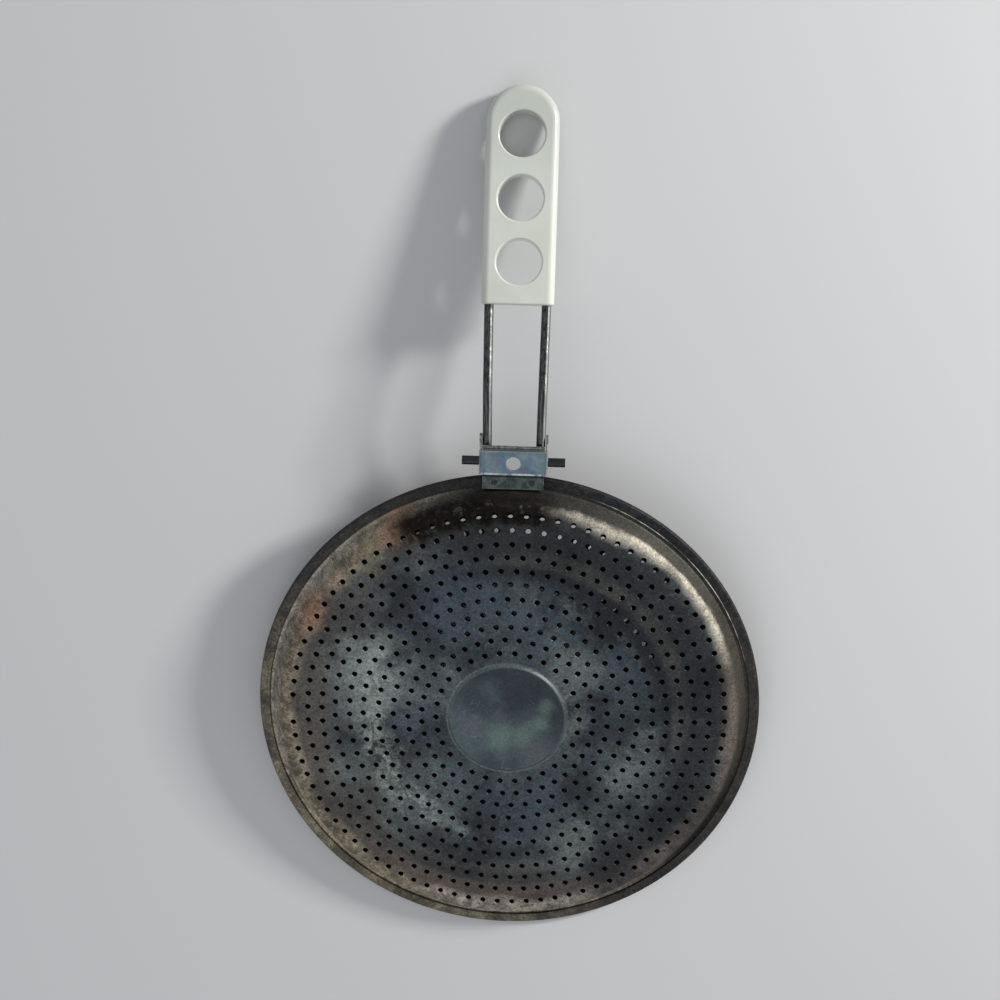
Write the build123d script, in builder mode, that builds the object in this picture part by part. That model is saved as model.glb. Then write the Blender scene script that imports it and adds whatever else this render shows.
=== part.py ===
"""Simmer plate: two perforated steel discs hemmed together, with a hinged wire handle and a plastic grip.

Millimetres, +Z up. The part stands as it comes to rest on a table: the far edge of the hem and the
tip of the grip touch the table, and the hinge side is lifted. The origin is on the table, in the
middle of the footprint, and +Y runs from the plate to the tip of the grip.
"""
import math
import os

from build123d import *

os.makedirs("parts", exist_ok=True)

# Pressed discs
rim_diameter = 204.0
sheet = 0.8
hem_clearance = 0.05
hem_width = 4.2
hem_gap = 0.1
flange_gap = 1.0
plate_height = 9.0
shoulder_run = 4.0
plateau_bend = 3.2
shoulder_bend = 2.2
boss_radius = 23.0
boss_height = 1.0
boss_slope = 1.2
boss_bend = 0.9

# Perforation: each ring holds six more holes than the ring inside it
hole_pitch = 14.5
hole_width = 7.2
hole_sides = 6

# Wire handle
wire_diameter = 3.5
leg_spacing = 21.6
hinge_leg_spacing = 20.3
splay_bend = 60.0
trunnion_overhang = 6.6
trunnion_bend = 2.0
hinge_to_elbow = 28.0
elbow_angle = 15.0
elbow_bend = 9.0
elbow_to_grip = 32.0

# Grip
grip_length = 81.0
grip_width = 27.4
grip_thickness = 8.0
grip_edge_round = 2.8
grip_mouth_round = 0.8
finger_hole_diameter = 17.0
finger_hole_count = 3
finger_hole_to_tip = 18.3
finger_hole_to_mouth = 15.8
finger_hole_round = 0.7
channel_clearance = 0.1

# Hinge bracket
bracket_sheet = 1.0
bracket_bend = 0.4
bracket_length = 9.6
bracket_play = 0.3
tab_overreach = 1.2
tab_step = 0.6
lip_length = 2.2
lip_angle = 35.0
ear_reach = 5.6
ear_margin = 2.2
ear_round = 2.6
trunnion_play = 0.25
trunnion_setback = 4.7
hang_hole_diameter = 5.5
hang_hole_setback = 4.5
weld_spacing = 14.4
weld_diameter = 3.0
weld_depth = 0.3

# Hem and flange levels, above the underside of the hem
rim_radius = rim_diameter / 2
wire_radius = wire_diameter / 2
hem_radius = (3 * sheet + 2 * hem_clearance) / 2
hem_top = 2 * hem_radius
flange_top = hem_top - sheet - hem_clearance
flange_radius = rim_radius - sheet - flange_gap
plateau_top = plate_height - boss_height
shoulder_slope = math.atan2(plateau_top - flange_top, shoulder_run)
shoulder_radius = rim_radius - hem_width - hem_gap - shoulder_bend * math.tan(shoulder_slope / 2)
plateau_radius = shoulder_radius - shoulder_run
flat_outer = plateau_radius - plateau_bend * math.tan(shoulder_slope / 2)
flat_inner = boss_radius + boss_slope + boss_bend

# Bracket levels, in the frame of the plate
tab_top = hem_top + bracket_sheet
base_top = tab_top + tab_step
base_bottom = base_top - bracket_sheet
bracket_inner = hinge_leg_spacing + wire_diameter + 2 * bracket_play
bracket_outer = bracket_inner + 2 * bracket_sheet
tab_width = bracket_outer - 2 * (bracket_bend + bracket_sheet)
tab_length = hem_width + tab_overreach
fold_y = rim_radius + bracket_bend
rear_y = fold_y + bracket_length

# Hinge axis and handle line, in the frame of the plate
hinge_y = fold_y + trunnion_setback
hinge_z = base_bottom - bracket_play - wire_radius
elbow_y = hinge_y + hinge_to_elbow
elbow_slope = math.radians(elbow_angle)
mouth_y = elbow_y + elbow_to_grip * math.cos(elbow_slope)
mouth_z = hinge_z - elbow_to_grip * math.sin(elbow_slope)
trunnion_end = bracket_outer / 2 + trunnion_overhang
leg_x = leg_spacing / 2
hinge_leg_x = hinge_leg_spacing / 2
elbow_share = hinge_to_elbow / (hinge_to_elbow + elbow_to_grip)
elbow_leg_x = hinge_leg_x + (leg_x - hinge_leg_x) * elbow_share

# Tilt at rest: the table is tangent to the round of the hem and to the lower round of the grip's tip
tip_run = elbow_to_grip + grip_length - grip_edge_round
tip_drop = grip_thickness / 2 - grip_edge_round
tip_y = elbow_y + tip_run * math.cos(elbow_slope) - tip_drop * math.sin(elbow_slope)
tip_z = hinge_z - tip_run * math.sin(elbow_slope) - tip_drop * math.cos(elbow_slope)
far_y = hem_radius - rim_radius
support_span = math.hypot(tip_y - far_y, tip_z - hem_radius)
chord_tilt = math.atan2(hem_radius - tip_z, tip_y - far_y)
tilt = chord_tilt + math.asin((grip_edge_round - hem_radius) / support_span)

# Place of the plate: the hem touches the table and the footprint is centred on the origin
high_tip_y = tip_y + 2 * tip_drop * math.sin(elbow_slope)
high_tip_z = tip_z + 2 * tip_drop * math.cos(elbow_slope)
footprint_front = far_y * math.cos(tilt) - hem_radius * math.sin(tilt) - hem_radius
footprint_rear = high_tip_y * math.cos(tilt) - high_tip_z * math.sin(tilt) + grip_edge_round
plate_y = -(footprint_front + footprint_rear) / 2
plate_z = hem_radius - far_y * math.sin(tilt) - hem_radius * math.cos(tilt)

# Planes: flat on the plate, along its middle, across it, and flat on the grip
plate_up = (0, -math.sin(tilt), math.cos(tilt))
plate_out = (0, math.cos(tilt), math.sin(tilt))
plate_plane = Plane(origin=(0, plate_y, plate_z), x_dir=(1, 0, 0), z_dir=plate_up)
side_plane = Plane(origin=plate_plane.origin, x_dir=plate_out, z_dir=(1, 0, 0))
plate_axis = Axis(plate_plane.origin, plate_up)
grip_fall = elbow_slope - tilt
grip_plane = Plane(
    origin=plate_plane.from_local_coords((0, mouth_y, mouth_z)),
    x_dir=(1, 0, 0),
    z_dir=(0, math.sin(grip_fall), math.cos(grip_fall)),
)


def cross_plane(y, z=0.0):
    """Plane across the plate, seen from the handle's side, at a distance from the plate's centre."""
    return Plane(
        origin=plate_plane.from_local_coords((0, y, z)),
        x_dir=(-1, 0, 0),
        z_dir=plate_out,
    )


def level_plane(z):
    """Plane parallel to the plate, above the underside of its hem."""
    return plate_plane.offset(z)


def punch_rings():
    """Rings of holes that fit on the flat of the plate, six more in each ring than in the one inside it."""
    hole_radius = hole_width / 2
    first_ring = math.ceil((flat_inner + hole_radius) / hole_pitch)
    last_ring = math.floor((flat_outer - hole_radius) / hole_pitch)
    for ring in range(first_ring, last_ring + 1):
        with PolarLocations(ring * hole_pitch, 6 * ring):
            RegularPolygon(hole_radius, hole_sides)


# Upper disc: raised perforated face with a pressed centre, its flange held in the hem
with BuildPart() as upper_disc:
    with BuildSketch(side_plane) as upper_section:
        with BuildLine():
            FilletPolyline(
                (0, plate_height),
                (boss_radius, plate_height),
                (boss_radius + boss_slope, plateau_top),
                (plateau_radius, plateau_top),
                (shoulder_radius, flange_top),
                (flange_radius, flange_top),
                radius=[boss_bend, boss_bend, plateau_bend, shoulder_bend],
            )
            offset(amount=sheet, side=Side.RIGHT)
        make_face()
    revolve(axis=plate_axis)
    with BuildSketch(level_plane(plateau_top)) as upper_holes:
        punch_rings()
    extrude(amount=-sheet, mode=Mode.SUBTRACT)
upper_disc.part.label = "upper_disc"
export_step(upper_disc.part, "parts/upper_disc.step")

# Lower disc: flat perforated base, its edge folded over the flange of the upper disc
with BuildPart() as lower_disc:
    with BuildSketch(side_plane) as lower_section:
        with BuildLine():
            base_run = Line((0, 0), (rim_radius - hem_radius, 0))
            hem_turn = TangentArc(base_run @ 1, (rim_radius - hem_radius, hem_top), tangent=base_run % 1)
            Line(hem_turn @ 1, (rim_radius - hem_width, hem_top))
            offset(amount=sheet, side=Side.LEFT)
        make_face()
    revolve(axis=plate_axis)
    with BuildSketch(plate_plane) as lower_holes:
        punch_rings()
    extrude(amount=sheet, mode=Mode.SUBTRACT)
lower_disc.part.label = "lower_disc"
export_step(lower_disc.part, "parts/lower_disc.step")

# Hinge bracket: a folded channel with two ears, a flared rear lip and a tab welded to the hem
with BuildPart() as hinge_bracket:
    with BuildSketch(side_plane) as strip_section:
        with BuildLine():
            lip_run = lip_length * math.cos(math.radians(lip_angle))
            lip_rise = lip_length * math.sin(math.radians(lip_angle))
            FilletPolyline(
                (rim_radius - tab_length, tab_top),
                (rim_radius - tab_step, tab_top),
                (fold_y, base_top),
                (rear_y, base_top),
                (rear_y + lip_run, base_top + lip_rise),
                radius=bracket_bend / 2,
            )
            offset(amount=bracket_sheet, side=Side.RIGHT)
        make_face()
    extrude(amount=tab_width / 2, both=True)
    with BuildSketch(cross_plane(fold_y, base_top)) as channel_section:
        channel_depth = bracket_sheet + bracket_bend
        with Locations((0, -channel_depth / 2)):
            Rectangle(bracket_outer, channel_depth)
        fillet(channel_section.vertices().group_by(Axis.Y)[-1], bracket_sheet + bracket_bend)
        with Locations((0, -bracket_sheet - channel_depth / 2)):
            Rectangle(bracket_inner, channel_depth, mode=Mode.SUBTRACT)
    extrude(amount=bracket_length)
    ear_bottom = hinge_z - wire_radius - ear_margin
    ear_top = base_top - channel_depth
    with BuildSketch(side_plane.offset(bracket_inner / 2)) as ear_outline:
        with BuildLine():
            Polyline(
                (fold_y, ear_top),
                (fold_y, ear_bottom),
                (rear_y + ear_reach, ear_bottom),
                (rear_y + ear_reach, ear_top),
                close=True,
            )
        make_face()
        fillet(ear_outline.vertices(), ear_round)
    extrude(amount=bracket_sheet)
    mirror(about=side_plane)
    with BuildSketch(side_plane) as trunnion_holes:
        with Locations((hinge_y, hinge_z)):
            Circle(wire_radius + trunnion_play)
    extrude(amount=bracket_outer, both=True, mode=Mode.SUBTRACT)
    with BuildSketch(level_plane(base_top)) as hang_hole:
        with Locations((0, fold_y + hang_hole_setback)):
            Circle(hang_hole_diameter / 2)
    extrude(amount=-bracket_sheet, mode=Mode.SUBTRACT)
    with BuildSketch(level_plane(tab_top)) as weld_marks:
        with Locations((0, rim_radius - tab_length / 2)):
            with GridLocations(weld_spacing, 0, 2, 1):
                Circle(weld_diameter / 2)
    extrude(amount=-weld_depth, mode=Mode.SUBTRACT)
hinge_bracket.part.label = "hinge_bracket"
export_step(hinge_bracket.part, "parts/hinge_bracket.step")

# Wire handle: one bent wire, from trunnion to trunnion round the far finger hole, sprung in at the hinge
loop_run = grip_length - finger_hole_to_tip
finger_hole_pitch = (loop_run - finger_hole_to_mouth) / (finger_hole_count - 1)
with BuildPart() as wire_handle:
    with BuildLine() as wire_path:
        left_leg = FilletPolyline(
            plate_plane.from_local_coords((-trunnion_end, hinge_y, hinge_z)),
            plate_plane.from_local_coords((-hinge_leg_x, hinge_y, hinge_z)),
            plate_plane.from_local_coords((-elbow_leg_x, elbow_y, hinge_z)),
            grip_plane.from_local_coords((-leg_x, 0, 0)),
            grip_plane.from_local_coords((-leg_x, loop_run, 0)),
            radius=[trunnion_bend, elbow_bend, splay_bend],
        )
        ThreePointArc(
            left_leg @ 1,
            grip_plane.from_local_coords((0, loop_run + leg_x, 0)),
            grip_plane.from_local_coords((leg_x, loop_run, 0)),
        )
        mirror(left_leg, about=side_plane)
    with BuildSketch(side_plane.offset(-trunnion_end)) as wire_section:
        with Locations((hinge_y, hinge_z)):
            Circle(wire_radius)
    sweep(path=wire_path.wire())
wire_handle.part.label = "wire_handle"
export_step(wire_handle.part, "parts/wire_handle.step")

# Grip: a flat rounded bar with a row of finger holes, hollowed for the wire
with BuildPart() as grip:
    straight_run = grip_length - grip_width / 2
    with BuildSketch(grip_plane) as grip_outline:
        with Locations((0, straight_run / 2)):
            Rectangle(grip_width, straight_run)
        with Locations((0, straight_run)):
            Circle(grip_width / 2)
    extrude(amount=grip_thickness / 2, both=True)
    mouth = grip.faces().sort_by(Axis(grip_plane.origin, grip_plane.y_dir))[0]
    broad_faces = grip.faces().filter_by(grip_plane)
    fillet(broad_faces.edges() - mouth.edges(), grip_edge_round)
    with BuildSketch(grip_plane) as finger_holes:
        for place in range(finger_hole_count):
            with Locations((0, loop_run - place * finger_hole_pitch)):
                Circle(finger_hole_diameter / 2)
    extrude(amount=grip_thickness, both=True, mode=Mode.SUBTRACT)
    hole_edges = grip.faces().filter_by(grip_plane).edges().filter_by(GeomType.CIRCLE)
    hole_rims = hole_edges.filter_by(lambda edge: abs(edge.radius - finger_hole_diameter / 2) < 0.01)
    fillet(hole_rims, finger_hole_round)
    mouth = grip.faces().sort_by(Axis(grip_plane.origin, grip_plane.y_dir))[0]
    fillet(mouth.edges(), grip_mouth_round)
    with BuildLine() as channel_path:
        channel_leg = Line(
            grip_plane.from_local_coords((-leg_x, 0, 0)),
            grip_plane.from_local_coords((-leg_x, loop_run, 0)),
        )
        ThreePointArc(
            channel_leg @ 1,
            grip_plane.from_local_coords((0, loop_run + leg_x, 0)),
            grip_plane.from_local_coords((leg_x, loop_run, 0)),
        )
        mirror(channel_leg, about=side_plane)
    with BuildSketch(Plane(grip_plane.origin, x_dir=(1, 0, 0), z_dir=grip_plane.y_dir)) as channel_section:
        with Locations((-leg_x, 0)):
            Circle(wire_radius + channel_clearance)
    sweep(path=channel_path.wire(), mode=Mode.SUBTRACT)
grip.part.label = "grip"
export_step(grip.part, "parts/grip.step")
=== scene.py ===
import math

import bmesh
import bpy
from mathutils import Matrix, Vector, geometry


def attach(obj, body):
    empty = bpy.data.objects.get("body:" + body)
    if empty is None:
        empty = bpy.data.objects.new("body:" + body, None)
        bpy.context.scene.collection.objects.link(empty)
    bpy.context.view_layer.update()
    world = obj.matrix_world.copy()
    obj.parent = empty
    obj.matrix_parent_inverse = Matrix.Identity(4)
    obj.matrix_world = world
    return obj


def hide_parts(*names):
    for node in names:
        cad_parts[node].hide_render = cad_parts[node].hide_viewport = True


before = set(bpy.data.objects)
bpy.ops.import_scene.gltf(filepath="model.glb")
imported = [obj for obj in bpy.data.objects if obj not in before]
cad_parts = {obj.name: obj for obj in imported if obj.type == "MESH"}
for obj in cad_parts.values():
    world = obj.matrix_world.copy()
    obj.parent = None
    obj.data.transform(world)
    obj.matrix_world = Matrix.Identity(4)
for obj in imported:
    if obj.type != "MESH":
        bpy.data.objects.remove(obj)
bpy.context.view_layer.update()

mm = 0.001
scene = bpy.context.scene
scene.view_settings.view_transform = "Standard"
print("frame loaded:", sorted(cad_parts))

# the plate leans on its far edge, so its own axes are tilted in the frame
plateSeat = {
    "origin": (0.0, -72.178708, 9.227978),
    "tilt": 5.252251,
}
plateMatrix = (
    Matrix.Translation(Vector(plateSeat["origin"]) * mm)
    @ Matrix.Rotation(math.radians(plateSeat["tilt"]), 4, "X")
    @ Matrix.Scale(mm, 4)
)


def tone(red, green, blue):  # screen colour to scene colour
    def linear(value):
        value /= 255
        return value / 12.92 if value <= 0.04045 else ((value + 0.055) / 1.055) ** 2.4
    return (linear(red), linear(green), linear(blue), 1.0)


# node helpers, used by every finish below
def put(tree, kind, inputs=None, **settings):
    made = tree.nodes.new(kind)
    for name, value in settings.items():
        setattr(made, name, value)
    for key, value in (inputs or {}).items():
        if isinstance(value, bpy.types.NodeSocket):
            tree.links.new(value, made.inputs[key])
        else:
            made.inputs[key].default_value = value
    return made


def sums(tree, operation, first, second=0.0, third=0.0, clamp=False):
    made = put(tree, "ShaderNodeMath", {0: first, 1: second, 2: third}, operation=operation)
    made.use_clamp = clamp
    return made.outputs[0]


def ease(tree, value, low, high, start=0.0, end=1.0):
    made = put(
        tree, "ShaderNodeMapRange",
        {"Value": value, "From Min": low, "From Max": high, "To Min": start, "To Max": end},
        interpolation_type="SMOOTHSTEP",
    )
    return made.outputs["Result"]


def blendColours(tree, factor, first, second, mode="MIX"):
    made = put(
        tree, "ShaderNodeMix", {0: factor, 6: first, 7: second}, data_type="RGBA", blend_type=mode
    )
    return made.outputs[2]


def cloud(tree, vector, scale, detail=3.0, roughness=0.55, twist=0.0):
    made = put(
        tree, "ShaderNodeTexNoise",
        {"Vector": vector, "Scale": scale, "Detail": detail, "Roughness": roughness, "Distortion": twist},
    )
    return made.outputs["Fac"]


def stretched(tree, vector, lengths, turn=0.0):
    made = put(
        tree, "ShaderNodeMapping",
        {"Vector": vector, "Scale": lengths, "Rotation": (0.0, 0.0, math.radians(turn))},
        vector_type="TEXTURE",
    )
    return made.outputs["Vector"]


def newGroup(name, inputs, outputs):
    group = bpy.data.node_groups.new(name, "ShaderNodeTree")
    for label, kind, value in inputs:
        socket = group.interface.new_socket(label, in_out="INPUT", socket_type=kind)
        if value is not None:
            socket.default_value = value
    for label, kind in outputs:
        group.interface.new_socket(label, in_out="OUTPUT", socket_type=kind)
    return group, group.nodes.new("NodeGroupInput").outputs, group.nodes.new("NodeGroupOutput").inputs


def use(tree, group, **inputs):
    made = tree.nodes.new("ShaderNodeGroup")
    made.node_tree = group
    for key, value in inputs.items():
        if isinstance(value, bpy.types.NodeSocket):
            tree.links.new(value, made.inputs[key])
        else:
            made.inputs[key].default_value = value
    return made.outputs


# temper colours that steel takes from a flame, from straw through bronze and purple to slate
def makeHeatTint():
    group, given, out = newGroup(
        "heatTint",
        [
            ("Vector", "NodeSocketVector", None),
            ("Level", "NodeSocketFloat", 0.5),
            ("Unevenness", "NodeSocketFloat", 0.25),
            ("Scale", "NodeSocketFloat", 0.05),
        ],
        [("Colour", "NodeSocketColor"), ("Heat", "NodeSocketFloat")],
    )
    wander = sums(group, "SUBTRACT", cloud(group, given["Vector"], given["Scale"], 4.0, 0.6, 0.4), 0.5)
    heat = sums(group, "MULTIPLY_ADD", wander, given["Unevenness"], given["Level"], clamp=True)
    ramp = group.nodes.new("ShaderNodeValToRGB")
    stops = ramp.color_ramp.elements
    stops[0].position, stops[0].color = 0.0, tone(150, 146, 140)
    stops[1].position, stops[1].color = 1.0, tone(36, 34, 36)
    for place, colour in [
        (0.18, tone(168, 152, 128)), (0.34, tone(176, 132, 98)), (0.48, tone(120, 92, 80)),
        (0.62, tone(82, 78, 86)), (0.78, tone(66, 74, 88)),
    ]:
        stops.new(place).color = colour
    group.links.new(heat, ramp.inputs["Fac"])
    group.links.new(ramp.outputs["Color"], out["Colour"])
    group.links.new(heat, out["Heat"])
    return group


# burnt-on dirt that gathers in patches
def makeGrime():
    group, given, out = newGroup(
        "burntGrime",
        [
            ("Vector", "NodeSocketVector", None),
            ("Scale", "NodeSocketFloat", 0.1),
            ("Cover", "NodeSocketFloat", 0.5),
            ("Softness", "NodeSocketFloat", 0.12),
        ],
        [("Mask", "NodeSocketFloat")],
    )
    broad = cloud(group, given["Vector"], given["Scale"], 5.0, 0.62, 0.8)
    fine = cloud(group, given["Vector"], sums(group, "MULTIPLY", given["Scale"], 9.0), 3.0, 0.6)
    mixed = sums(group, "ADD", sums(group, "MULTIPLY", broad, 0.78), sums(group, "MULTIPLY", fine, 0.22))
    edge = sums(group, "SUBTRACT", 1.0, given["Cover"])
    low = sums(group, "SUBTRACT", edge, given["Softness"])
    high = sums(group, "ADD", edge, given["Softness"])
    group.links.new(ease(group, mixed, low, high), out["Mask"])
    return group


# hair-fine scratches in three directions
def makeScratches():
    group, given, out = newGroup(
        "fineScratches",
        [
            ("Vector", "NodeSocketVector", None),
            ("Scale", "NodeSocketFloat", 1.0),
            ("Density", "NodeSocketFloat", 0.4),
        ],
        [("Mask", "NodeSocketFloat"), ("Height", "NodeSocketFloat")],
    )
    scaled = put(
        group, "ShaderNodeVectorMath", {0: given["Vector"], "Scale": given["Scale"]}, operation="SCALE"
    )
    total = 0.0
    for turn, length in [(17.0, 9.0), (74.0, 12.0), (131.0, 7.0)]:
        line = cloud(group, stretched(group, scaled.outputs[0], (length, 0.5, 6.0), turn), 1.0, 2.0, 0.5, 0.1)
        total = sums(group, "MAXIMUM", ease(group, line, 0.68, 0.76), total)
    patch = cloud(group, scaled.outputs[0], 0.08, 2.0)
    held = sums(group, "MULTIPLY", total, ease(group, patch, 0.62, 0.40))
    mask = sums(group, "MULTIPLY", held, given["Density"], clamp=True)
    group.links.new(mask, out["Mask"])
    group.links.new(sums(group, "SUBTRACT", 1.0, mask), out["Height"])
    return group


# edges rubbed by use
def makeEdgeWear():
    group, given, out = newGroup(
        "edgeWear",
        [
            ("Vector", "NodeSocketVector", None),
            ("Width", "NodeSocketFloat", 0.0006),
            ("Breakup", "NodeSocketFloat", 0.5),
            ("Scale", "NodeSocketFloat", 0.6),
        ],
        [("Mask", "NodeSocketFloat")],
    )
    soft = put(group, "ShaderNodeBevel", {"Radius": given["Width"]}, samples=4)
    face = group.nodes.new("ShaderNodeNewGeometry")
    turn = put(
        group, "ShaderNodeVectorMath", {0: soft.outputs[0], 1: face.outputs["Normal"]},
        operation="DOT_PRODUCT",
    )
    edge = ease(group, turn.outputs["Value"], 0.985, 0.86)
    broken = cloud(group, given["Vector"], given["Scale"], 4.0, 0.65)
    kept = ease(group, sums(group, "MULTIPLY_ADD", given["Breakup"], -0.5, broken), 0.05, 0.3)
    group.links.new(sums(group, "MULTIPLY", edge, kept, clamp=True), out["Mask"])
    return group


heatTint = makeHeatTint()
burntGrime = makeGrime()
fineScratches = makeScratches()
edgeWear = makeEdgeWear()
print("shared effects built")


def newFinish(name):
    finish = bpy.data.materials.new(name)
    finish.use_nodes = True
    tree = finish.node_tree
    return finish, tree, tree.nodes["Principled BSDF"]


def plateSpace(tree):  # millimetres on the plate's own axes
    place = tree.nodes.new("ShaderNodeTexCoord")
    made = put(
        tree, "ShaderNodeMapping",
        {
            "Vector": place.outputs["Object"],
            "Location": Vector(plateSeat["origin"]) * mm,
            "Rotation": (math.radians(plateSeat["tilt"]), 0.0, 0.0),
            "Scale": (mm, mm, mm),
        },
        vector_type="TEXTURE",
    )
    return made.outputs["Vector"]


# pressed discs, punched in rings of holes; the lower rings lie between the upper ones
punching = {"radius": 1.12, "sides": 16, "burr": 0.1, "sharpFrom": 32}
upperDisc = {
    "plateau": 8.0, "sheet": 0.8, "segments": 300,
    "centre": [(0, 9.0), (23.0, 9.0), (24.2, 8.0)], "centreBends": [0.9, 0.9],
    "edge": [(92.486, 8.0), (96.486, 1.65), (100.2, 1.65)], "edgeBends": [3.2, 2.2],
    "rings": [  # radius, holes, bearing of the first
        (29.0, 30, 1.2), (34.8, 39, 0.3), (40.4, 43, -3.0), (46.4, 47, 3.6), (52.4, 56, 1.0),
        (58.6, 60, -0.1), (64.2, 66, 0.6), (70.0, 72, 1.2), (75.4, 77, 0.9), (81.2, 85, 0.7), (87.4, 89, 1.4),
    ],
    "flat": (26.1, 89.9), "missing": (-87.4, 2.0),  # one hole was never punched
}
lowerDisc = {
    "sheet": 0.8, "segments": 300,
    "rim": 102.0, "hemHeight": 2.5, "hemWidth": 4.2, "cutRound": 0.2, "bendSlack": 0.001,
    "rings": [
        (32.6, 30, 12.4), (38.0, 39, 6.1), (44.0, 43, 3.3), (48.8, 47, 4.6), (54.8, 56, 6.6), (62.2, 60, 0.7),
        (66.6, 66, 1.3), (73.2, 72, 2.7), (78.6, 77, 1.2), (84.0, 85, 1.5), (88.6, 89, 5.2),
    ],
    "flat": (23.2, 91.4), "missing": None,
}


def roundCorners(points, bends, steps=8):  # line with each inner corner rounded
    line = [Vector(points[0])]
    for before, corner, after, bend in zip(points, points[1:], points[2:], bends):
        corner = Vector(corner)
        back = (Vector(before) - corner).normalized()
        on = (Vector(after) - corner).normalized()
        half = back.angle(on) / 2
        reach = bend / math.tan(half)
        middle = corner + (back + on).normalized() * (bend / math.sin(half))
        start = corner + back * reach - middle
        end = corner + on * reach - middle
        sweep = start.angle_signed(end)
        for step in range(steps + 1):
            turn = Matrix.Rotation(-sweep * step / steps, 2)
            line.append(middle + turn @ start)
    line.append(Vector(points[-1]))
    return line


def parallel(line, distance):  # the same line, one sheet lower
    shifted = []
    for place, point in enumerate(line):
        before = line[max(place - 1, 0)]
        after = line[min(place + 1, len(line) - 1)]
        along = (after - before).normalized()
        shifted.append(point + Vector((along.y, -along.x)) * distance)
    return shifted


def spin(bm, line, segments):  # surface of revolution round the plate's axis
    rows = []
    for radius, height in line:
        if radius < 1e-6:
            rows.append([bm.verts.new((0, 0, height))])
            continue
        rows.append([
            bm.verts.new((
                radius * math.cos(math.tau * step / segments),
                radius * math.sin(math.tau * step / segments),
                height,
            ))
            for step in range(segments)
        ])
    for near, far in zip(rows, rows[1:]):
        for step in range(segments):
            follow = (step + 1) % segments
            if len(near) == 1:
                bm.faces.new((near[0], far[step], far[follow]))
            elif len(far) == 1:
                bm.faces.new((near[step], far[0], near[follow]))
            else:
                bm.faces.new((near[step], far[step], far[follow], near[follow]))


def punchedSheet(bm, disc, top, bottom):
    burr, bore, sides = punching["burr"], punching["radius"], punching["sides"]
    outline, edges = [], []

    def ringOf(middle, radius, count):
        first = len(outline)
        for step in range(count):
            angle = math.tau * step / count
            outline.append(middle + radius * Vector((math.cos(angle), math.sin(angle))))
            edges.append((first + step, first + (step + 1) % count))
        return first

    def holeAt(ring, place):
        radius, count, first = ring
        angle = math.tau * place / count + math.radians(first)
        return radius * Vector((math.cos(angle), math.sin(angle)))

    for radius in disc["flat"]:
        ringOf(Vector((0, 0)), radius, disc["segments"])
    middles = [holeAt(ring, place) for ring in disc["rings"] for place in range(ring[1])]
    if disc["missing"]:
        middles.remove(min(middles, key=lambda middle: (middle - Vector(disc["missing"])).length))
    starts = [ringOf(middle, bore + burr, sides) for middle in middles]
    places, _, triangles, *_ = geometry.delaunay_2d_cdt(outline, edges, [], 0, 1e-5)

    def isOpen(point):  # inside the inner ring or inside a hole
        reach = point.length
        if reach < disc["flat"][0] * 0.9995:
            return True
        ring = min(disc["rings"], key=lambda ring: abs(ring[0] - reach))
        angle = math.atan2(point.y, point.x) - math.radians(ring[2])
        middle = holeAt(ring, round(angle / math.tau * ring[1]))
        kept = not disc["missing"] or (middle - Vector(disc["missing"])).length > bore * 2
        return kept and (point - middle).length < (bore + burr) * 0.97

    upper = [bm.verts.new((place.x, place.y, top)) for place in places]
    lower = [bm.verts.new((place.x, place.y, bottom)) for place in places]
    for one, two, three in triangles:
        if isOpen((places[one] + places[two] + places[three]) / 3):
            continue
        bm.faces.new((upper[one], upper[two], upper[three]))
        bm.faces.new((lower[three], lower[two], lower[one]))
    for middle, first in zip(middles, starts):
        rows = [upper[first:first + sides]]
        for height in (top - burr, bottom + burr):
            rows.append([
                bm.verts.new((
                    middle.x + bore * math.cos(math.tau * step / sides),
                    middle.y + bore * math.sin(math.tau * step / sides),
                    height,
                ))
                for step in range(sides)
            ])
        rows.append(lower[first:first + sides])
        for near, far in zip(rows, rows[1:]):
            for step in range(sides):
                follow = (step + 1) % sides
                bm.faces.new((near[step], near[follow], far[follow], far[step]))


def finishDisc(bm, name, finish):
    bmesh.ops.remove_doubles(bm, verts=bm.verts, dist=1e-4)
    bmesh.ops.recalc_face_normals(bm, faces=bm.faces)
    mesh = bpy.data.meshes.new(name)
    bm.to_mesh(mesh)
    bm.free()
    mesh.transform(plateMatrix)
    for face in mesh.polygons:
        face.use_smooth = True
    mesh.set_sharp_from_angle(angle=math.radians(punching["sharpFrom"]))
    mesh.materials.append(finish)
    disc = bpy.data.objects.new(name, mesh)
    scene.collection.objects.link(disc)
    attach(disc, "plate")
    print(name, len(mesh.vertices), "vertices", len(mesh.polygons), "faces")
    return disc


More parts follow.
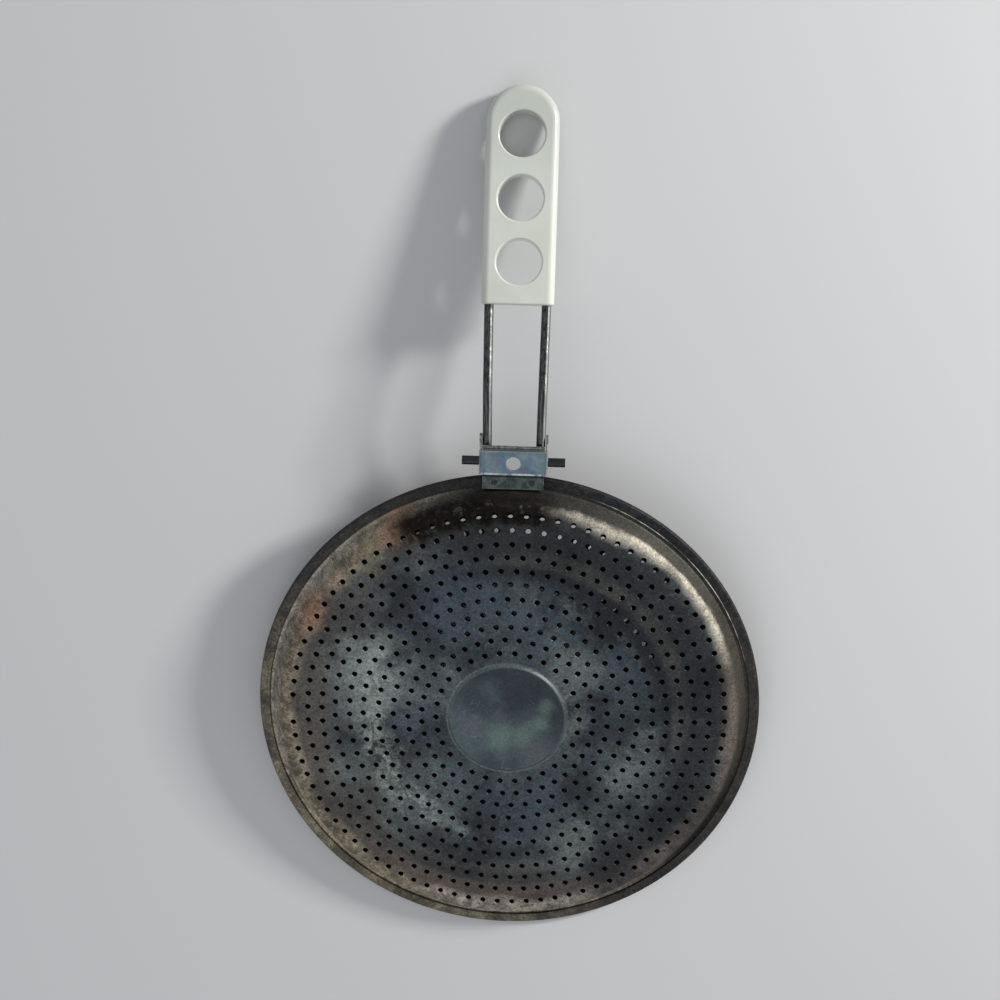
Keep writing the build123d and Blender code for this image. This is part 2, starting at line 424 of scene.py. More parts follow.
# heat-stained steel: slate with worn grey patches, brown towards the rim, soot under the handle
stain = {
    "slate": tone(56, 65, 74), "worn": tone(116, 124, 121), "deep": tone(27, 30, 34),
    "green": tone(66, 78, 80), "mauve": tone(60, 60, 70), "brown": tone(74, 69, 63),
    "soot": tone(16, 14, 13), "rust": tone(58, 44, 38), "crust": tone(48, 44, 39),
    "ember": tone(146, 106, 82), "straw": tone(122, 116, 92), "umber": tone(80, 67, 62),
    "champagne": tone(224, 218, 198), "bronze": tone(126, 117, 103), "tan": tone(128, 123, 105),
    "pale": tone(158, 151, 140), "rosy": tone(118, 112, 105), "steelGrey": tone(80, 81, 83),
    # the near-white glint colour on the line below is a painted highlight
    "ringTan": tone(80, 80, 72), "smear": tone(138, 145, 138), "paintedGlint": tone(238, 234, 220),
    # the foot colours on the line below are painted reflection
    "footDark": tone(25, 26, 26), "footGrey": tone(184, 176, 163), "footTan": tone(208, 196, 172),
    "footBrown": tone(78, 73, 66), "hemBrown": tone(62, 58, 51), "olive": tone(138, 128, 106),
    # the near-black inside colour on the line below is painted shade
    "hemDark": tone(22, 24, 25), "inside": tone(20, 20, 21), "bossDark": tone(44, 50, 56),
    "bossPale": tone(69, 80, 83), "bossGreen": tone(88, 104, 99), "bossMauve": tone(78, 80, 86),
}
edgeTones = {  # bearing, start, full, colour, laid over one another in this order
    "shoulder": [
        # champagne towards the upper right is a painted highlight
        (48, 0.62, 0.97, "champagne"), (165, 0.2, 0.8, "bronze"), (226, 0.4, 0.85, "tan"),
        (268, 0.85, 0.99, "pale"), (2, 0.9, 0.99, "rosy"),
    ],
    # the foot is painted reflection: dark on the upper right, lighter grey and tan on the left and lower left
    "foot": [(168, 0.3, 0.8, "footGrey"), (252, 0.35, 0.8, "footTan"), (2, 0.88, 0.99, "footBrown")],
    "hem": [(350, 0.7, 0.95, "hemBrown"), (222, 0.2, 0.75, "olive")],
}
rings = {  # radii where a ring rises, is full, fades and ends
    "scorch": (57.0, 65.0, 67.5, 70.5), "burner": (66.0, 68.0, 72.0, 75.5),
    "burnerEdge": (60.0, 64.0, 65.6, 66.6), "outer": (68.0, 75.0, 86.0, 90.0),
    "arc": (71.0, 75.0, 77.5, 80.0), "umber": (79.0, 82.0, 86.0, 89.0),
    "smear": (47.0, 53.0, 58.0, 65.0), "paintedGlint": (97.6, 97.75, 98.05, 98.3),
    "bossEdgeGlint": (22.6, 23.4, 24.2, 25.2),
}
sides = {  # bearing in degrees, start, full
    "burner": (48.0, 0.2, 0.85), "burnerEdge": (48.0, 0.2, 0.85), "outer": (30.0, -0.3, 0.4),
    "arc": (258.0, 0.55, 0.85), "umber": (268.0, 0.6, 0.9), "smear": (196.0, 0.55, 0.88),
    "paintedGlint": (44.0, 0.86, 0.97), "brown": (222.0, -0.2, 0.8), "bright": (38.0, 0.3, 0.85),
    "steep": (46.0, 0.5, 0.9), "clean": (44.0, 0.5, 0.95), "flecks": (212.0, 0.1, 0.7),
    "soot": (100.0, 0.91, 0.962),
}
passing = {  # radii between which one zone passes into the next; hemTop holds heights
    "boss": (24.2, 22.4), "bossGrain": (22.0, 25.0), "shoulder": (84.5, 90.0), "foot": (91.8, 94.2),
    "hem": (97.2, 97.6), "soot": (79.0, 86.0), "sootEnd": (96.5, 92.5), "dirty": (82.0, 90.0),
    "specks": (80.0, 90.0), "flecks": (86.0, 90.0), "flecksEnd": (95.0, 93.0), "dull": (86.0, 90.0),
    "tint": (88.0, 100.0), "brownWidth": 16.0, "hemTop": (1.8, 2.2),
}
bossPatches = [  # on the pressed centre: centre, reach, colour, strength
    ((3, 11), 9, "bossDark", 0.95), ((3, 5), 7, "bossDark", 0.7), ((-13, 6), 8, "bossDark", 0.7),
    ((-6, 13), 8, "bossPale", 0.5), ((-16, -3), 8, "bossMauve", 0.8), ((-3, -8), 9, "bossGreen", 0.85),
    ((7, -8), 8, "bossGreen", 0.85), ((13, -2), 7, "bossGreen", 0.8), ((15, 6), 6, "bossGreen", 0.6),
    ((13, -13), 8, "bossMauve", 0.7), ((-7, -20), 9, "bossDark", 0.8), ((3, -21), 8, "bossDark", 0.6),
]
upperLook = {
    "brownFrom": 64.0, "grimeCover": 0.40, "grimeDepth": 0.5, "worn": 0.7,
    # hollowHeight and hollowReach bound the painted shade between the sheets
    "hollowHeight": (7.7, 7.4), "hollowReach": (90.5, 89.5),
    "patches": [  # centre, reach, colour, strength
        ((-54, 20), 24, "worn", 0.8), ((-36, 30), 18, "deep", 0.6), ((-20, 54), 28, "slate", 0.7),
        ((-62, -28), 18, "worn", 0.32), ((30, -59), 21, "worn", 0.55), ((53, -25), 18, "worn", 0.42),
        ((31, -35), 16, "deep", 0.65), ((50, -4), 15, "deep", 0.65), ((12, -44), 22, "slate", 0.6),
        ((44, 40), 22, "deep", 0.5), ((26, 22), 18, "worn", 0.4), ((-58, 0), 16, "worn", 0.5),
        ((-80, 44), 13, "ember", 0.7), ((-46, 82), 12, "ember", 0.6), ((-56, 72), 14, "straw", 0.6),
        ((64, 10), 22, "deep", 0.6), ((60, 44), 20, "deep", 0.5), ((68, -38), 24, "deep", 0.75),
        ((42, -70), 20, "deep", 0.7), ((-38, -40), 30, "worn", 0.22), ((-4, 72), 22, "deep", 0.5),
        ((18, 74), 18, "deep", 0.5), ((74, 22), 18, "deep", 0.5), ((-62, 40), 18, "brown", 0.35),
        ((-64, -44), 20, "brown", 0.4), ((30, 70), 24, "deep", 0.6), ((36, -8), 14, "deep", 0.5),
        ((-20, 74), 16, "deep", 0.4), ((-68, 40), 18, "deep", 0.45), ((-68, -40), 18, "deep", 0.45),
        ((42, -64), 18, "deep", 0.5),
    ],
}
lowerLook = {
    "brownFrom": 58.0, "grimeCover": 0.52, "grimeDepth": 0.7, "worn": 0.35,
    # hollowHeight and hollowReach bound the painted shade between the sheets
    "hollowHeight": (0.3, 0.6), "hollowReach": (97.5, 96.5),
    "patches": [((0, 84), 36, "soot", 0.8), ((-30, -40), 34, "brown", 0.5), ((38, -10), 30, "deep", 0.5)],
}


def band(tree, value, rise, full, fade, end):  # one between full and fade, nothing outside rise and end
    return sums(tree, "MULTIPLY", ease(tree, value, rise, full), ease(tree, value, end, fade))


def discFinish(name, look):
    finish, tree, shader = newFinish(name)
    spot = plateSpace(tree)
    parts = put(tree, "ShaderNodeSeparateXYZ", {0: spot}).outputs
    flat = put(tree, "ShaderNodeCombineXYZ", {0: parts[0], 1: parts[1]}).outputs[0]
    radius = put(tree, "ShaderNodeVectorMath", {0: flat}, operation="LENGTH").outputs["Value"]
    way = put(tree, "ShaderNodeVectorMath", {0: flat}, operation="NORMALIZE").outputs[0]
    drift = put(tree, "ShaderNodeTexNoise", {"Vector": spot, "Scale": 0.06, "Detail": 5.0, "Roughness": 0.65})
    shift = put(
        tree, "ShaderNodeVectorMath", {0: drift.outputs["Color"], 1: (0.5, 0.5, 0.5)}, operation="SUBTRACT"
    )

    def bearing(degrees, low, high):  # how far a point lies towards a side of the plate
        side = (math.cos(math.radians(degrees)), math.sin(math.radians(degrees)), 0.0)
        dot = put(tree, "ShaderNodeVectorMath", {0: way, 1: side}, operation="DOT_PRODUCT")
        return ease(tree, dot.outputs["Value"], low, high)

    def astray(reach):  # the plate's axes, pushed about by noise
        made = put(
            tree, "ShaderNodeVectorMath", {0: shift.outputs[0], 1: (reach, reach, 0.0), 2: flat},
            operation="MULTIPLY_ADD",
        )
        return made.outputs[0]

    def aroundHalf(noise, reach, value):  # a value pushed up and down by noise
        return sums(tree, "MULTIPLY_ADD", sums(tree, "SUBTRACT", noise, 0.5), reach, value)

    def stripe(base, measure, place, strength, shade):  # part of a ring, on one side of the plate
        mask = sums(tree, "MULTIPLY", band(tree, measure, *rings[place]), bearing(*sides[place]))
        return blendColours(tree, sums(tree, "MULTIPLY", mask, strength), base, stain[shade])

    def toneRound(start, zones):  # colour that changes round the plate
        made = stain[start]
        for degrees, low, high, shade in zones:
            made = blendColours(tree, bearing(degrees, low, high), made, stain[shade])
        return made

    def daub(base, vector, patches):  # soft-edged spots of colour
        for centre, reach, shade, strength in patches:
            away = put(tree, "ShaderNodeVectorMath", {0: vector, 1: (*centre, 0.0)}, operation="DISTANCE")
            mask = ease(tree, away.outputs["Value"], reach, reach * 0.1, 0.0, strength)
            base = blendColours(tree, mask, base, stain[shade])
        return base

    # mottled slate
    ragged = astray(34.0)
    swirl = cloud(tree, ragged, 0.028, 4.0, 0.6, 0.6)
    patchy = cloud(tree, ragged, 0.05, 6.0, 0.68, 0.5)
    colour = blendColours(tree, ease(tree, swirl, 0.34, 0.6), stain["deep"], stain["slate"])
    greenish = ease(tree, cloud(tree, flat, 0.03, 3.0), 0.42, 0.62, 0.0, 0.7)
    colour = blendColours(tree, greenish, colour, stain["green"])
    purplish = ease(tree, cloud(tree, ragged, 0.035, 3.0), 0.5, 0.72, 0.0, 0.6)
    colour = blendColours(tree, purplish, colour, stain["mauve"])
    colour = blendColours(tree, ease(tree, patchy, 0.5, 0.74, 0.0, look["worn"]), colour, stain["worn"])

    # burner ring and the brown zone outside it
    uneven = aroundHalf(swirl, 22.0, radius)
    scorch = band(tree, uneven, *rings["scorch"])
    colour = blendColours(tree, sums(tree, "MULTIPLY", scorch, 0.65), colour, stain["deep"])
    colour = stripe(colour, radius, "burner", ease(tree, patchy, 0.34, 0.6, 0.25, 0.75), "ringTan")
    colour = stripe(colour, radius, "burnerEdge", 0.6, "deep")
    brown = ease(tree, uneven, look["brownFrom"], look["brownFrom"] + passing["brownWidth"], 0.0, 0.9)
    stronger = sums(tree, "MULTIPLY_ADD", bearing(*sides["brown"]), 0.7, 0.3)
    colour = blendColours(tree, sums(tree, "MULTIPLY", brown, stronger), colour, stain["brown"])
    colour = stripe(colour, uneven, "outer", 0.6, "deep")
    colour = stripe(colour, radius, "arc", 0.5, "deep")
    colour = stripe(colour, radius, "umber", 0.5, "umber")

    # shoulder: tempered bands, a painted highlight on the upper right, painted reflection on the foot, and
    # the folded hem outside it with a painted glint along its cut edge
    level = ease(tree, radius, *passing["tint"], 0.28, 0.7)
    tint = use(tree, heatTint, Vector=spot, Level=level, Unevenness=0.5, Scale=0.035)
    # shoulder colour round the plate, with a painted highlight in champagne towards the upper right
    bend = blendColours(tree, 0.1, toneRound("steelGrey", edgeTones["shoulder"]), tint["Colour"])
    calm = aroundHalf(cloud(tree, flat, 0.04, 2.0), 12.0, radius)
    inner = sums(tree, "MULTIPLY_ADD", bearing(*sides["bright"]), -2.6, calm)  # the shoulder colour starts further out on the side of the painted highlight
    colour = blendColours(tree, ease(tree, inner, *passing["shoulder"], 0.0, 0.95), colour, bend)
    # painted reflection on the steep foot: dark and reaching further in on the upper right, lighter on the
    # left
    slope = aroundHalf(patchy, 5.0, radius)
    slope = sums(tree, "MULTIPLY_ADD", bearing(*sides["steep"]), 0.9, slope)
    foot = toneRound("footDark", edgeTones["foot"])
    colour = blendColours(tree, ease(tree, slope, *passing["foot"], 0.0, 0.95), colour, foot)
    tinted = sums(tree, "MULTIPLY", tint["Heat"], 0.15)
    hem = blendColours(tree, tinted, toneRound("hemDark", edgeTones["hem"]), tint["Colour"])
    colour = blendColours(tree, ease(tree, radius, *passing["hem"], 0.0, 0.95), colour, hem)
    crust = use(tree, burntGrime, Vector=spot, Scale=0.16, Cover=0.5, Softness=0.1)["Mask"]
    dirty = sums(tree, "MULTIPLY", crust, ease(tree, radius, *passing["dirty"], 0.15, 0.6))
    dirty = sums(tree, "MULTIPLY", dirty, sums(tree, "SUBTRACT", 1.0, bearing(*sides["clean"])))
    colour = blendColours(tree, dirty, colour, stain["crust"])
    # painted highlight: a thin near-white line along the top of the hem's cut edge on the upper-right side,
    # broken up by noise
    broken = ease(tree, cloud(tree, spot, 0.12, 3.0), 0.36, 0.56, 0.3, 1.0)
    onTop = ease(tree, parts[2], *passing["hemTop"])
    colour = stripe(colour, radius, "paintedGlint", sums(tree, "MULTIPLY", onTop, broken), "paintedGlint")

    # patches, smears, grime and specks
    colour = daub(colour, ragged, look["patches"])
    smeared = ease(tree, cloud(tree, flat, 0.17, 5.0, 0.7, 1.2), 0.44, 0.62)
    colour = stripe(colour, calm, "smear", sums(tree, "MULTIPLY", smeared, 0.6), "smear")
    grime = use(tree, burntGrime, Vector=spot, Scale=0.09, Cover=look["grimeCover"], Softness=0.16)["Mask"]
    colour = blendColours(tree, sums(tree, "MULTIPLY", grime, look["grimeDepth"]), colour, stain["deep"])
    specks = use(tree, burntGrime, Vector=spot, Scale=0.3, Cover=0.46, Softness=0.12)["Mask"]
    specks = sums(tree, "MULTIPLY", specks, ease(tree, radius, *passing["specks"], 0.1, 0.35))
    colour = blendColours(tree, specks, colour, stain["brown"])
    flecks = use(tree, burntGrime, Vector=spot, Scale=0.42, Cover=0.47, Softness=0.07)["Mask"]
    flecks = sums(tree, "MULTIPLY", flecks, bearing(*sides["flecks"]))
    flecks = sums(tree, "MULTIPLY", flecks, ease(tree, radius, *passing["flecks"], 0.0, 0.55))
    flecks = sums(tree, "MULTIPLY", flecks, ease(tree, radius, *passing["flecksEnd"], 0.3, 1.0))
    colour = blendColours(tree, flecks, colour, stain["crust"])

    # pressed centre, a painted highlight round its edge, and the grain of the sheet
    shaded = sums(tree, "MULTIPLY_ADD", parts[0], 0.45, aroundHalf(patchy, 44.0, parts[1]))
    pressed = blendColours(tree, ease(tree, shaded, -14.0, 14.0), stain["bossPale"], stain["bossDark"])
    pressed = daub(pressed, astray(12.0), bossPatches)
    colour = blendColours(tree, ease(tree, radius, *passing["boss"], 0.0, 0.85), colour, pressed)
    # painted highlight: a lighter ring in the worn-grey colour round the edge of the pressed centre
    bossEdgeGlint = band(tree, radius, *rings["bossEdgeGlint"])
    colour = blendColours(tree, sums(tree, "MULTIPLY", bossEdgeGlint, 0.35), colour, stain["worn"])
    grain = cloud(tree, spot, 1.3, 4.0, 0.75)
    grainy = ease(tree, radius, *passing["bossGrain"], 0.3, 0.6)
    colour = blendColours(tree, grainy, colour, ease(tree, grain, 0.22, 0.78), mode="OVERLAY")
    scratch = use(tree, fineScratches, Vector=spot, Scale=1.0, Density=0.6)
    colour = blendColours(tree, sums(tree, "MULTIPLY", scratch["Mask"], 0.1), colour, stain["champagne"])

    # flaky soot below the handle, rust in it, and painted shade on the faces between the two sheets
    flaky = cloud(tree, spot, 0.22, 6.0, 0.7, 0.6)
    soot = sums(tree, "MULTIPLY", bearing(*sides["soot"]), ease(tree, uneven, *passing["soot"]))
    soot = sums(tree, "MULTIPLY", soot, ease(tree, slope, *passing["sootEnd"], 0.25, 1.0))
    soot = sums(tree, "MULTIPLY", soot, ease(tree, flaky, 0.32, 0.48, 0.62, 1.0))
    colour = blendColours(tree, sums(tree, "MULTIPLY", soot, 0.96), colour, stain["soot"])
    rust = sums(tree, "MULTIPLY", soot, ease(tree, flaky, 0.54, 0.66, 0.0, 0.6))
    colour = blendColours(tree, rust, colour, stain["rust"])
    # painted shade: near-black, less metallic and rough on the faces between the two sheets and part way down
    # the hole walls
    insideShade = ease(tree, parts[2], *look["hollowHeight"])
    insideShade = sums(tree, "MULTIPLY", insideShade, ease(tree, radius, *look["hollowReach"]))
    colour = blendColours(tree, insideShade, colour, stain["inside"])
    tree.links.new(colour, shader.inputs["Base Color"])

    # shine and relief
    bare = ease(tree, insideShade, 0.0, 1.0, 0.85, 0.1)
    bare = sums(tree, "MULTIPLY", bare, ease(tree, soot, 0.0, 1.0, 1.0, 1.12))
    tree.links.new(bare, shader.inputs["Metallic"])
    rough = sums(tree, "MULTIPLY_ADD", grime, 0.14, ease(tree, patchy, 0.3, 0.7, 0.36, 0.52))
    rough = sums(tree, "MAXIMUM", rough, ease(tree, radius, *passing["dull"], 0.0, 0.58))
    sootAndShade = sums(tree, "MULTIPLY", sums(tree, "MAXIMUM", insideShade, soot), 0.8)
    tree.links.new(sums(tree, "MAXIMUM", rough, sootAndShade), shader.inputs["Roughness"])
    height = sums(tree, "MULTIPLY_ADD", grain, 0.02, cloud(tree, spot, 0.05, 2.0))
    bump = put(tree, "ShaderNodeBump", {"Height": height, "Distance": mm, "Strength": 0.6})
    tree.links.new(bump.outputs[0], shader.inputs["Normal"])
    return finish


discSteel = discFinish("discSteel", upperLook)
baseSteel = discFinish("baseSteel", lowerLook)

bm = bmesh.new()
topCentre = roundCorners(
    upperDisc["centre"] + [(upperDisc["flat"][0], upperDisc["plateau"])], upperDisc["centreBends"]
)
topEdge = roundCorners(
    [(upperDisc["flat"][1], upperDisc["plateau"])] + upperDisc["edge"], upperDisc["edgeBends"], 14
)
spin(bm, topCentre, upperDisc["segments"])
spin(bm, parallel(topCentre, upperDisc["sheet"]), upperDisc["segments"])
spin(bm, topEdge + parallel(topEdge, upperDisc["sheet"])[::-1], upperDisc["segments"])
punchedSheet(bm, upperDisc, upperDisc["plateau"], upperDisc["plateau"] - upperDisc["sheet"])
upperPiece = finishDisc(bm, "upperDisc", discSteel)
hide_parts("upper_disc")

bm = bmesh.new()
sheet, rim, hemTop = lowerDisc["sheet"], lowerDisc["rim"], lowerDisc["hemHeight"]
hemCut = rim - lowerDisc["hemWidth"]
hemBend = hemTop / 2 - lowerDisc["bendSlack"]
flatStart, flatEnd = lowerDisc["flat"]
hemLine = roundCorners(
    [
        (flatEnd, sheet), (rim - sheet, sheet), (rim - sheet, hemTop - sheet), (hemCut, hemTop - sheet),
        (hemCut, hemTop), (rim, hemTop), (rim, 0.0), (flatEnd, 0.0),
    ],
    [
        hemTop / 2 - sheet, hemTop / 2 - sheet, lowerDisc["cutRound"], lowerDisc["cutRound"],
        hemBend, hemBend,
    ],
)
spin(bm, hemLine, lowerDisc["segments"])
for level in (0.0, sheet):
    spin(bm, [(0, level), (flatStart / 2, level), (flatStart, level)], lowerDisc["segments"])
punchedSheet(bm, lowerDisc, sheet, 0.0)
lowerPiece = finishDisc(bm, "lowerDisc", baseSteel)
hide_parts("lower_disc")


def dress(node, finish):
    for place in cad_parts[node].material_slots:
        place.material = finish


# folded bracket: dull zinc with a bluish bloom, dirty on the welded tab
zinc = {
    "plate": tone(104, 122, 128), "bloom": tone(84, 106, 122), "violet": tone(104, 102, 122),
    "lip": tone(136, 134, 127), "dirt": tone(42, 46, 44), "tab": tone(74, 84, 82),
    "bare": tone(206, 208, 204), "foldWear": (-0.1, 0.25, 0.45, 0.9),
    "fold": 102.4, "rear": 112.0, "side": 13.0, "welds": [(-7.2, 99.3), (7.2, 99.3)], "weldReach": 2.4,
}


def zincFinish():
    finish, tree, shader = newFinish("bracketZinc")
    spot = plateSpace(tree)
    parts = put(tree, "ShaderNodeSeparateXYZ", {0: spot}).outputs
    spangle = put(tree, "ShaderNodeTexVoronoi", {"Vector": spot, "Scale": 0.7}).outputs["Color"]
    blue = ease(tree, cloud(tree, spot, 0.16, 3.0), 0.4, 0.62)
    colour = blendColours(tree, blue, zinc["plate"], zinc["bloom"])
    purple = ease(tree, cloud(tree, spot, 0.2, 2.0, 0.5, 0.6), 0.5, 0.66, 0.0, 0.7)
    colour = blendColours(tree, purple, colour, zinc["violet"])
    colour = blendColours(tree, 0.06, colour, spangle, mode="SOFT_LIGHT")
    onLip = ease(tree, parts[1], zinc["rear"] - 1.0, zinc["rear"], 0.0, 0.7)
    colour = blendColours(tree, onLip, colour, zinc["lip"])
    # painted highlight: the outer sides of the bracket are lightened towards the bare-zinc colour
    side = put(tree, "ShaderNodeMath", {0: parts[0]}, operation="ABSOLUTE").outputs[0]
    sideGlint = ease(tree, side, zinc["side"] - 0.5, zinc["side"], 0.0, 0.75)
    colour = blendColours(tree, sideGlint, colour, zinc["bare"])
    onTab = ease(tree, parts[1], zinc["fold"] + 0.6, zinc["fold"] - 0.6)
    colour = blendColours(tree, onTab, colour, zinc["tab"])
    grime = use(tree, burntGrime, Vector=spot, Scale=0.35, Cover=0.5, Softness=0.15)["Mask"]
    low = sums(tree, "MAXIMUM", onTab, ease(tree, parts[1], zinc["rear"] + 0.4, zinc["rear"] + 1.6))
    dirt = sums(tree, "MULTIPLY", grime, ease(tree, low, 0.0, 1.0, 0.3, 0.9))
    flat = put(tree, "ShaderNodeCombineXYZ", {0: parts[0], 1: parts[1]}).outputs[0]
    for weld in zinc["welds"]:
        away = put(tree, "ShaderNodeVectorMath", {0: flat, 1: (*weld, 0.0)}, operation="DISTANCE")
        noise = sums(tree, "SUBTRACT", cloud(tree, spot, 0.6, 3.0), 0.5)
        ragged = sums(tree, "MULTIPLY_ADD", noise, 3.0, away.outputs["Value"])
        burn = ease(tree, ragged, zinc["weldReach"], 0.6, 0.0, 0.9)
        dirt = sums(tree, "MAXIMUM", dirt, sums(tree, "MULTIPLY", burn, onTab))
    colour = blendColours(tree, dirt, colour, zinc["dirt"])
    wear = use(tree, edgeWear, Vector=spot, Width=0.0004, Breakup=0.5, Scale=0.8)["Mask"]
    wear = sums(tree, "MULTIPLY", wear, ease(tree, onTab, 0.0, 1.0, 0.7, 0.2))
    folded = band(tree, parts[1], *[zinc["fold"] + step for step in zinc["foldWear"]])
    folded = sums(tree, "MULTIPLY", folded, ease(tree, cloud(tree, spot, 0.3, 3.0), 0.4, 0.6, 0.1, 0.7))
    wear = sums(tree, "MAXIMUM", wear, folded)
    colour = blendColours(tree, wear, colour, zinc["bare"])
    scratch = use(tree, fineScratches, Vector=spot, Scale=1.4, Density=0.6)
    colour = blendColours(tree, sums(tree, "MULTIPLY", scratch["Mask"], 0.4), colour, zinc["bare"])
    tree.links.new(colour, shader.inputs["Base Color"])
    shader.inputs["Metallic"].default_value = 0.9
    tree.links.new(sums(tree, "MULTIPLY_ADD", dirt, 0.25, 0.36), shader.inputs["Roughness"])
    uneven = sums(tree, "MULTIPLY", cloud(tree, spot, 0.8, 3.0), 0.05)
    height = sums(tree, "MULTIPLY_ADD", scratch["Height"], 0.02, uneven)
    bump = put(tree, "ShaderNodeBump", {"Height": height, "Distance": mm, "Strength": 0.5})
    tree.links.new(bump.outputs[0], shader.inputs["Normal"])
    return finish


dress("hinge_bracket", zincFinish())

# bent wire: drawn steel, dulled, darker at the hinge
wire = {
    "steel": tone(78, 80, 80), "dull": tone(40, 42, 42), "rust": tone(46, 45, 40),
    "bright": tone(206, 206, 202), "stub": tone(34, 36, 31), "glintFacing": (0.68, 0.0, 0.733),
    "rustFrom": 150.0, "bluedFrom": 120.0, "hinge": 106.0,  # along the handle
    "stubFrom": 10.4, "stubOver": 1.6, "stubEnd": (112.0, 109.0),
}


def wireFinish():
    finish, tree, shader = newFinish("wireSteel")
    spot = plateSpace(tree)
    parts = put(tree, "ShaderNodeSeparateXYZ", {0: spot}).outputs
    drawn = cloud(tree, stretched(tree, spot, (0.5, 9.0, 0.5)), 1.0, 3.0, 0.6)
    colour = blendColours(tree, ease(tree, drawn, 0.35, 0.65), wire["dull"], wire["steel"])
    grime = use(tree, burntGrime, Vector=spot, Scale=0.3, Cover=0.42, Softness=0.12)["Mask"]
    near = ease(tree, parts[1], wire["rustFrom"], wire["hinge"], 0.35, 0.9)
    colour = blendColours(tree, sums(tree, "MULTIPLY", grime, near), colour, wire["rust"])
    tint = use(tree, heatTint, Vector=spot, Level=0.75, Unevenness=0.5, Scale=0.2)
    blued = ease(tree, parts[1], wire["bluedFrom"], wire["hinge"], 0.0, 0.7)
    colour = blendColours(tree, blued, colour, tint["Colour"])
    scratch = use(tree, fineScratches, Vector=spot, Scale=1.8, Density=0.7)
    colour = blendColours(tree, sums(tree, "MULTIPLY", scratch["Mask"], 0.5), colour, wire["bright"])
    # painted highlight: a light streak along the side of the wire that faces up and to the right; the same
    # light colour also marks the scratches above
    facing = tree.nodes.new("ShaderNodeTexCoord").outputs["Normal"]
    turned = put(tree, "ShaderNodeVectorMath", {0: facing, 1: wire["glintFacing"]}, operation="DOT_PRODUCT")
    paintedGlint = ease(tree, turned.outputs["Value"], 0.92, 0.985)
    paintedGlint = sums(tree, "MULTIPLY", paintedGlint, ease(tree, drawn, 0.36, 0.56, 0.45, 0.8))
    colour = blendColours(tree, paintedGlint, colour, wire["bright"])
    out = put(tree, "ShaderNodeMath", {0: parts[0]}, operation="ABSOLUTE").outputs[0]
    stub = ease(tree, out, wire["stubFrom"], wire["stubFrom"] + wire["stubOver"])
    stub = sums(tree, "MULTIPLY", stub, ease(tree, parts[1], *wire["stubEnd"]))
    stub = sums(tree, "MULTIPLY", stub, ease(tree, grime, 0.0, 1.0, 0.75, 0.95))
    colour = blendColours(tree, stub, colour, wire["stub"])
    tree.links.new(colour, shader.inputs["Base Color"])
    shader.inputs["Metallic"].default_value = 0.95
    tree.links.new(sums(tree, "MULTIPLY_ADD", grime, 0.2, 0.24), shader.inputs["Roughness"])
    height = sums(tree, "MULTIPLY_ADD", drawn, 0.04, sums(tree, "MULTIPLY", grime, 0.02))
    bump = put(tree, "ShaderNodeBump", {"Height": height, "Distance": mm, "Strength": 0.5})
    tree.links.new(bump.outputs[0], shader.inputs["Normal"])
    return finish


dress("wire_handle", wireFinish())

# moulded grip: glossy off-white, a little scuffed
grip = {
    "white": tone(207, 212, 204), "warm": tone(202, 204, 193), "tip": tone(178, 185, 177),
    "scuff": tone(150, 150, 142), "tipFrom": (200.0, 240.0),  # along the handle
}


def gripFinish():
    finish, tree, shader = newFinish("gripPlastic")
    spot = plateSpace(tree)
    warmer = ease(tree, cloud(tree, spot, 0.04, 3.0), 0.4, 0.7)
    colour = blendColours(tree, warmer, grip["white"], grip["warm"])
    along = put(tree, "ShaderNodeSeparateXYZ", {0: spot}).outputs[1]
    greyerTowardsTip = ease(tree, along, *grip["tipFrom"], 0.0, 0.7)  # greyer towards the tip
    colour = blendColours(tree, greyerTowardsTip, colour, grip["tip"])
    grime = use(tree, burntGrime, Vector=spot, Scale=0.22, Cover=0.34, Softness=0.1)["Mask"]
    colour = blendColours(tree, sums(tree, "MULTIPLY", grime, 0.18), colour, grip["scuff"])
    scratch = use(tree, fineScratches, Vector=spot, Scale=0.9, Density=0.6)
    colour = blendColours(tree, sums(tree, "MULTIPLY", scratch["Mask"], 0.25), colour, grip["scuff"])
    wear = use(tree, edgeWear, Vector=spot, Width=0.0008, Breakup=0.9, Scale=0.3)["Mask"]
    colour = blendColours(tree, sums(tree, "MULTIPLY", wear, 0.2), colour, grip["scuff"])
    tree.links.new(colour, shader.inputs["Base Color"])
    shader.inputs["Coat Weight"].default_value = 0.4
    shader.inputs["Coat Roughness"].default_value = 0.08
    tree.links.new(sums(tree, "MULTIPLY_ADD", scratch["Mask"], 0.2, 0.28), shader.inputs["Roughness"])
    uneven = sums(tree, "MULTIPLY", cloud(tree, spot, 0.12, 2.0), 0.25)
    height = sums(tree, "MULTIPLY_ADD", scratch["Height"], 0.02, uneven)
    bump = put(tree, "ShaderNodeBump", {"Height": height, "Distance": mm, "Strength": 0.3})
    tree.links.new(bump.outputs[0], shader.inputs["Normal"])
    return finish


dress("grip", gripFinish())
print("finishes on")

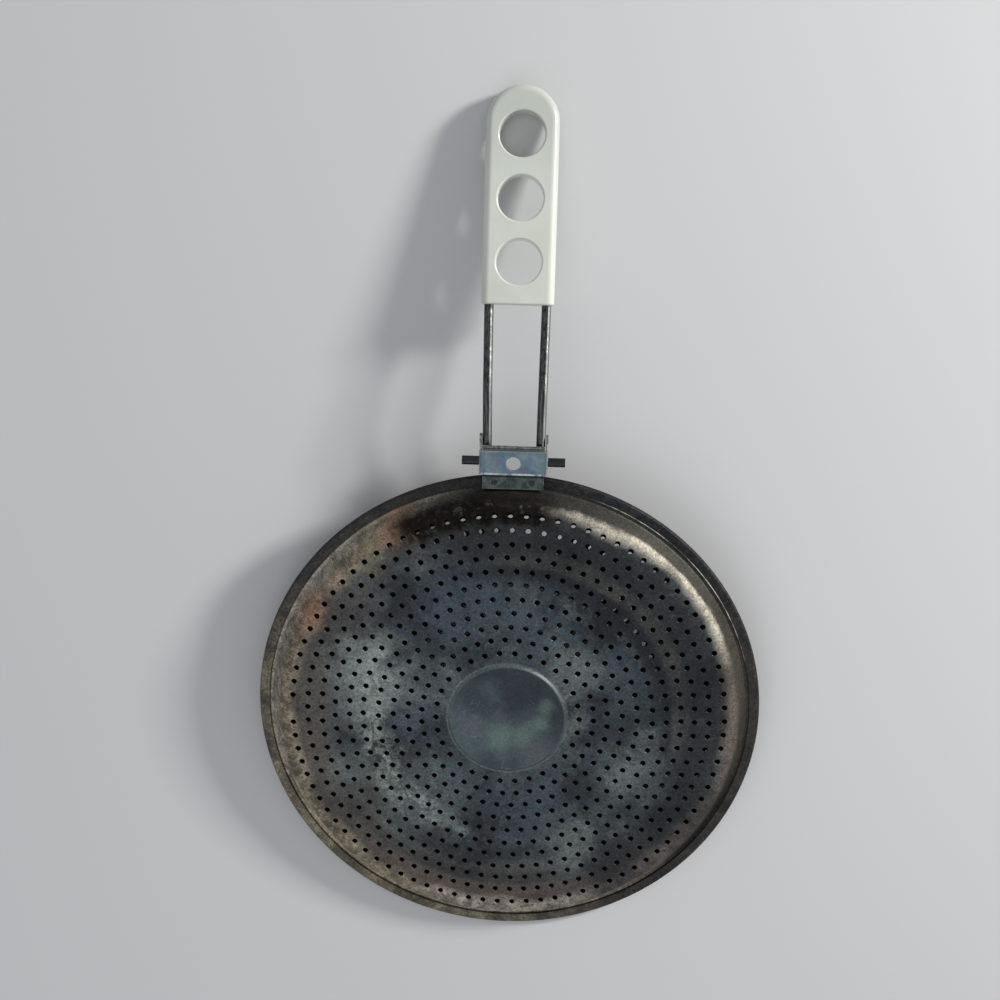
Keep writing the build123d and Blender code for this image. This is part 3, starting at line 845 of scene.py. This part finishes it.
# floor, light and camera
studio = {
    "floor": tone(206, 207, 208), "floorSize": 6.0,
    "sky": tone(240, 242, 246), "skyLight": 0.45, "skySeen": 0.9,
    "key": {"place": (1.08, 0.62, 0.45), "size": 0.2, "power": 19.0, "colour": (1.0, 0.98, 0.95)},
    "fill": {"place": (-0.5, -0.9, 1.2), "size": 1.2, "power": 3.5, "colour": (0.94, 0.97, 1.0)},
}
bpy.ops.mesh.primitive_grid_add(x_subdivisions=4, y_subdivisions=4, size=studio["floorSize"])
floor = bpy.context.object
floor.name = "floor"
floorFinish, tree, shader = newFinish("floorPaper")
place = tree.nodes.new("ShaderNodeTexCoord")
shade = cloud(tree, place.outputs["Object"], 3.0, 3.0)
paler = (*[min(value * 1.04, 1.0) for value in studio["floor"][:3]], 1.0)
tree.links.new(blendColours(tree, shade, studio["floor"], paler), shader.inputs["Base Color"])
shader.inputs["Roughness"].default_value = 0.8
floor.data.materials.append(floorFinish)

world = bpy.data.worlds.new("studioSky")
scene.world = world
world.use_nodes = True
tree = world.node_tree
sky = tree.nodes["Background"]
sky.inputs["Color"].default_value = studio["sky"]
sky.inputs["Strength"].default_value = studio["skyLight"]
seen = put(tree, "ShaderNodeBackground", {"Color": studio["sky"], "Strength": studio["skySeen"]})
path = tree.nodes.new("ShaderNodeLightPath")
direct = sums(tree, "MAXIMUM", path.outputs["Is Camera Ray"], path.outputs["Is Glossy Ray"])
direct = sums(tree, "MAXIMUM", direct, path.outputs["Is Transmission Ray"])
both = put(tree, "ShaderNodeMixShader", {0: direct, 1: sky.outputs[0], 2: seen.outputs[0]})
tree.links.new(both.outputs[0], tree.nodes["World Output"].inputs["Surface"])

for name in ("key", "fill"):
    lamp = studio[name]
    data = bpy.data.lights.new(name, "AREA")
    data.size, data.energy, data.color = lamp["size"], lamp["power"], lamp["colour"]
    light = bpy.data.objects.new(name, data)
    light.location = lamp["place"]
    light.rotation_mode = "QUATERNION"
    light.rotation_quaternion = (-Vector(lamp["place"])).to_track_quat("-Z", "Y")
    scene.collection.objects.link(light)

viewpoint = {
    "place": (13.8, 152.4, 544.4), "target": (-5.58, 13.8, 0.0), "up": (-0.0224, 1.0, 0.0),
    "lens": 50.4, "sensor": 36.0, "near": 0.01,
}
camera = bpy.data.objects.new("camera", bpy.data.cameras.new("camera"))
scene.collection.objects.link(camera)
camera.data.lens = viewpoint["lens"]
camera.data.sensor_width = viewpoint["sensor"]
place = Vector(viewpoint["place"]) * mm
ahead = (Vector(viewpoint["target"]) * mm - place).normalized()
right = ahead.cross(Vector(viewpoint["up"])).normalized()
above = right.cross(ahead)
turn = Matrix((right, above, -ahead)).transposed().to_4x4()
camera.matrix_world = Matrix.Translation(place) @ turn
camera.data.clip_start = viewpoint["near"]
scene.camera = camera
print("studio set")
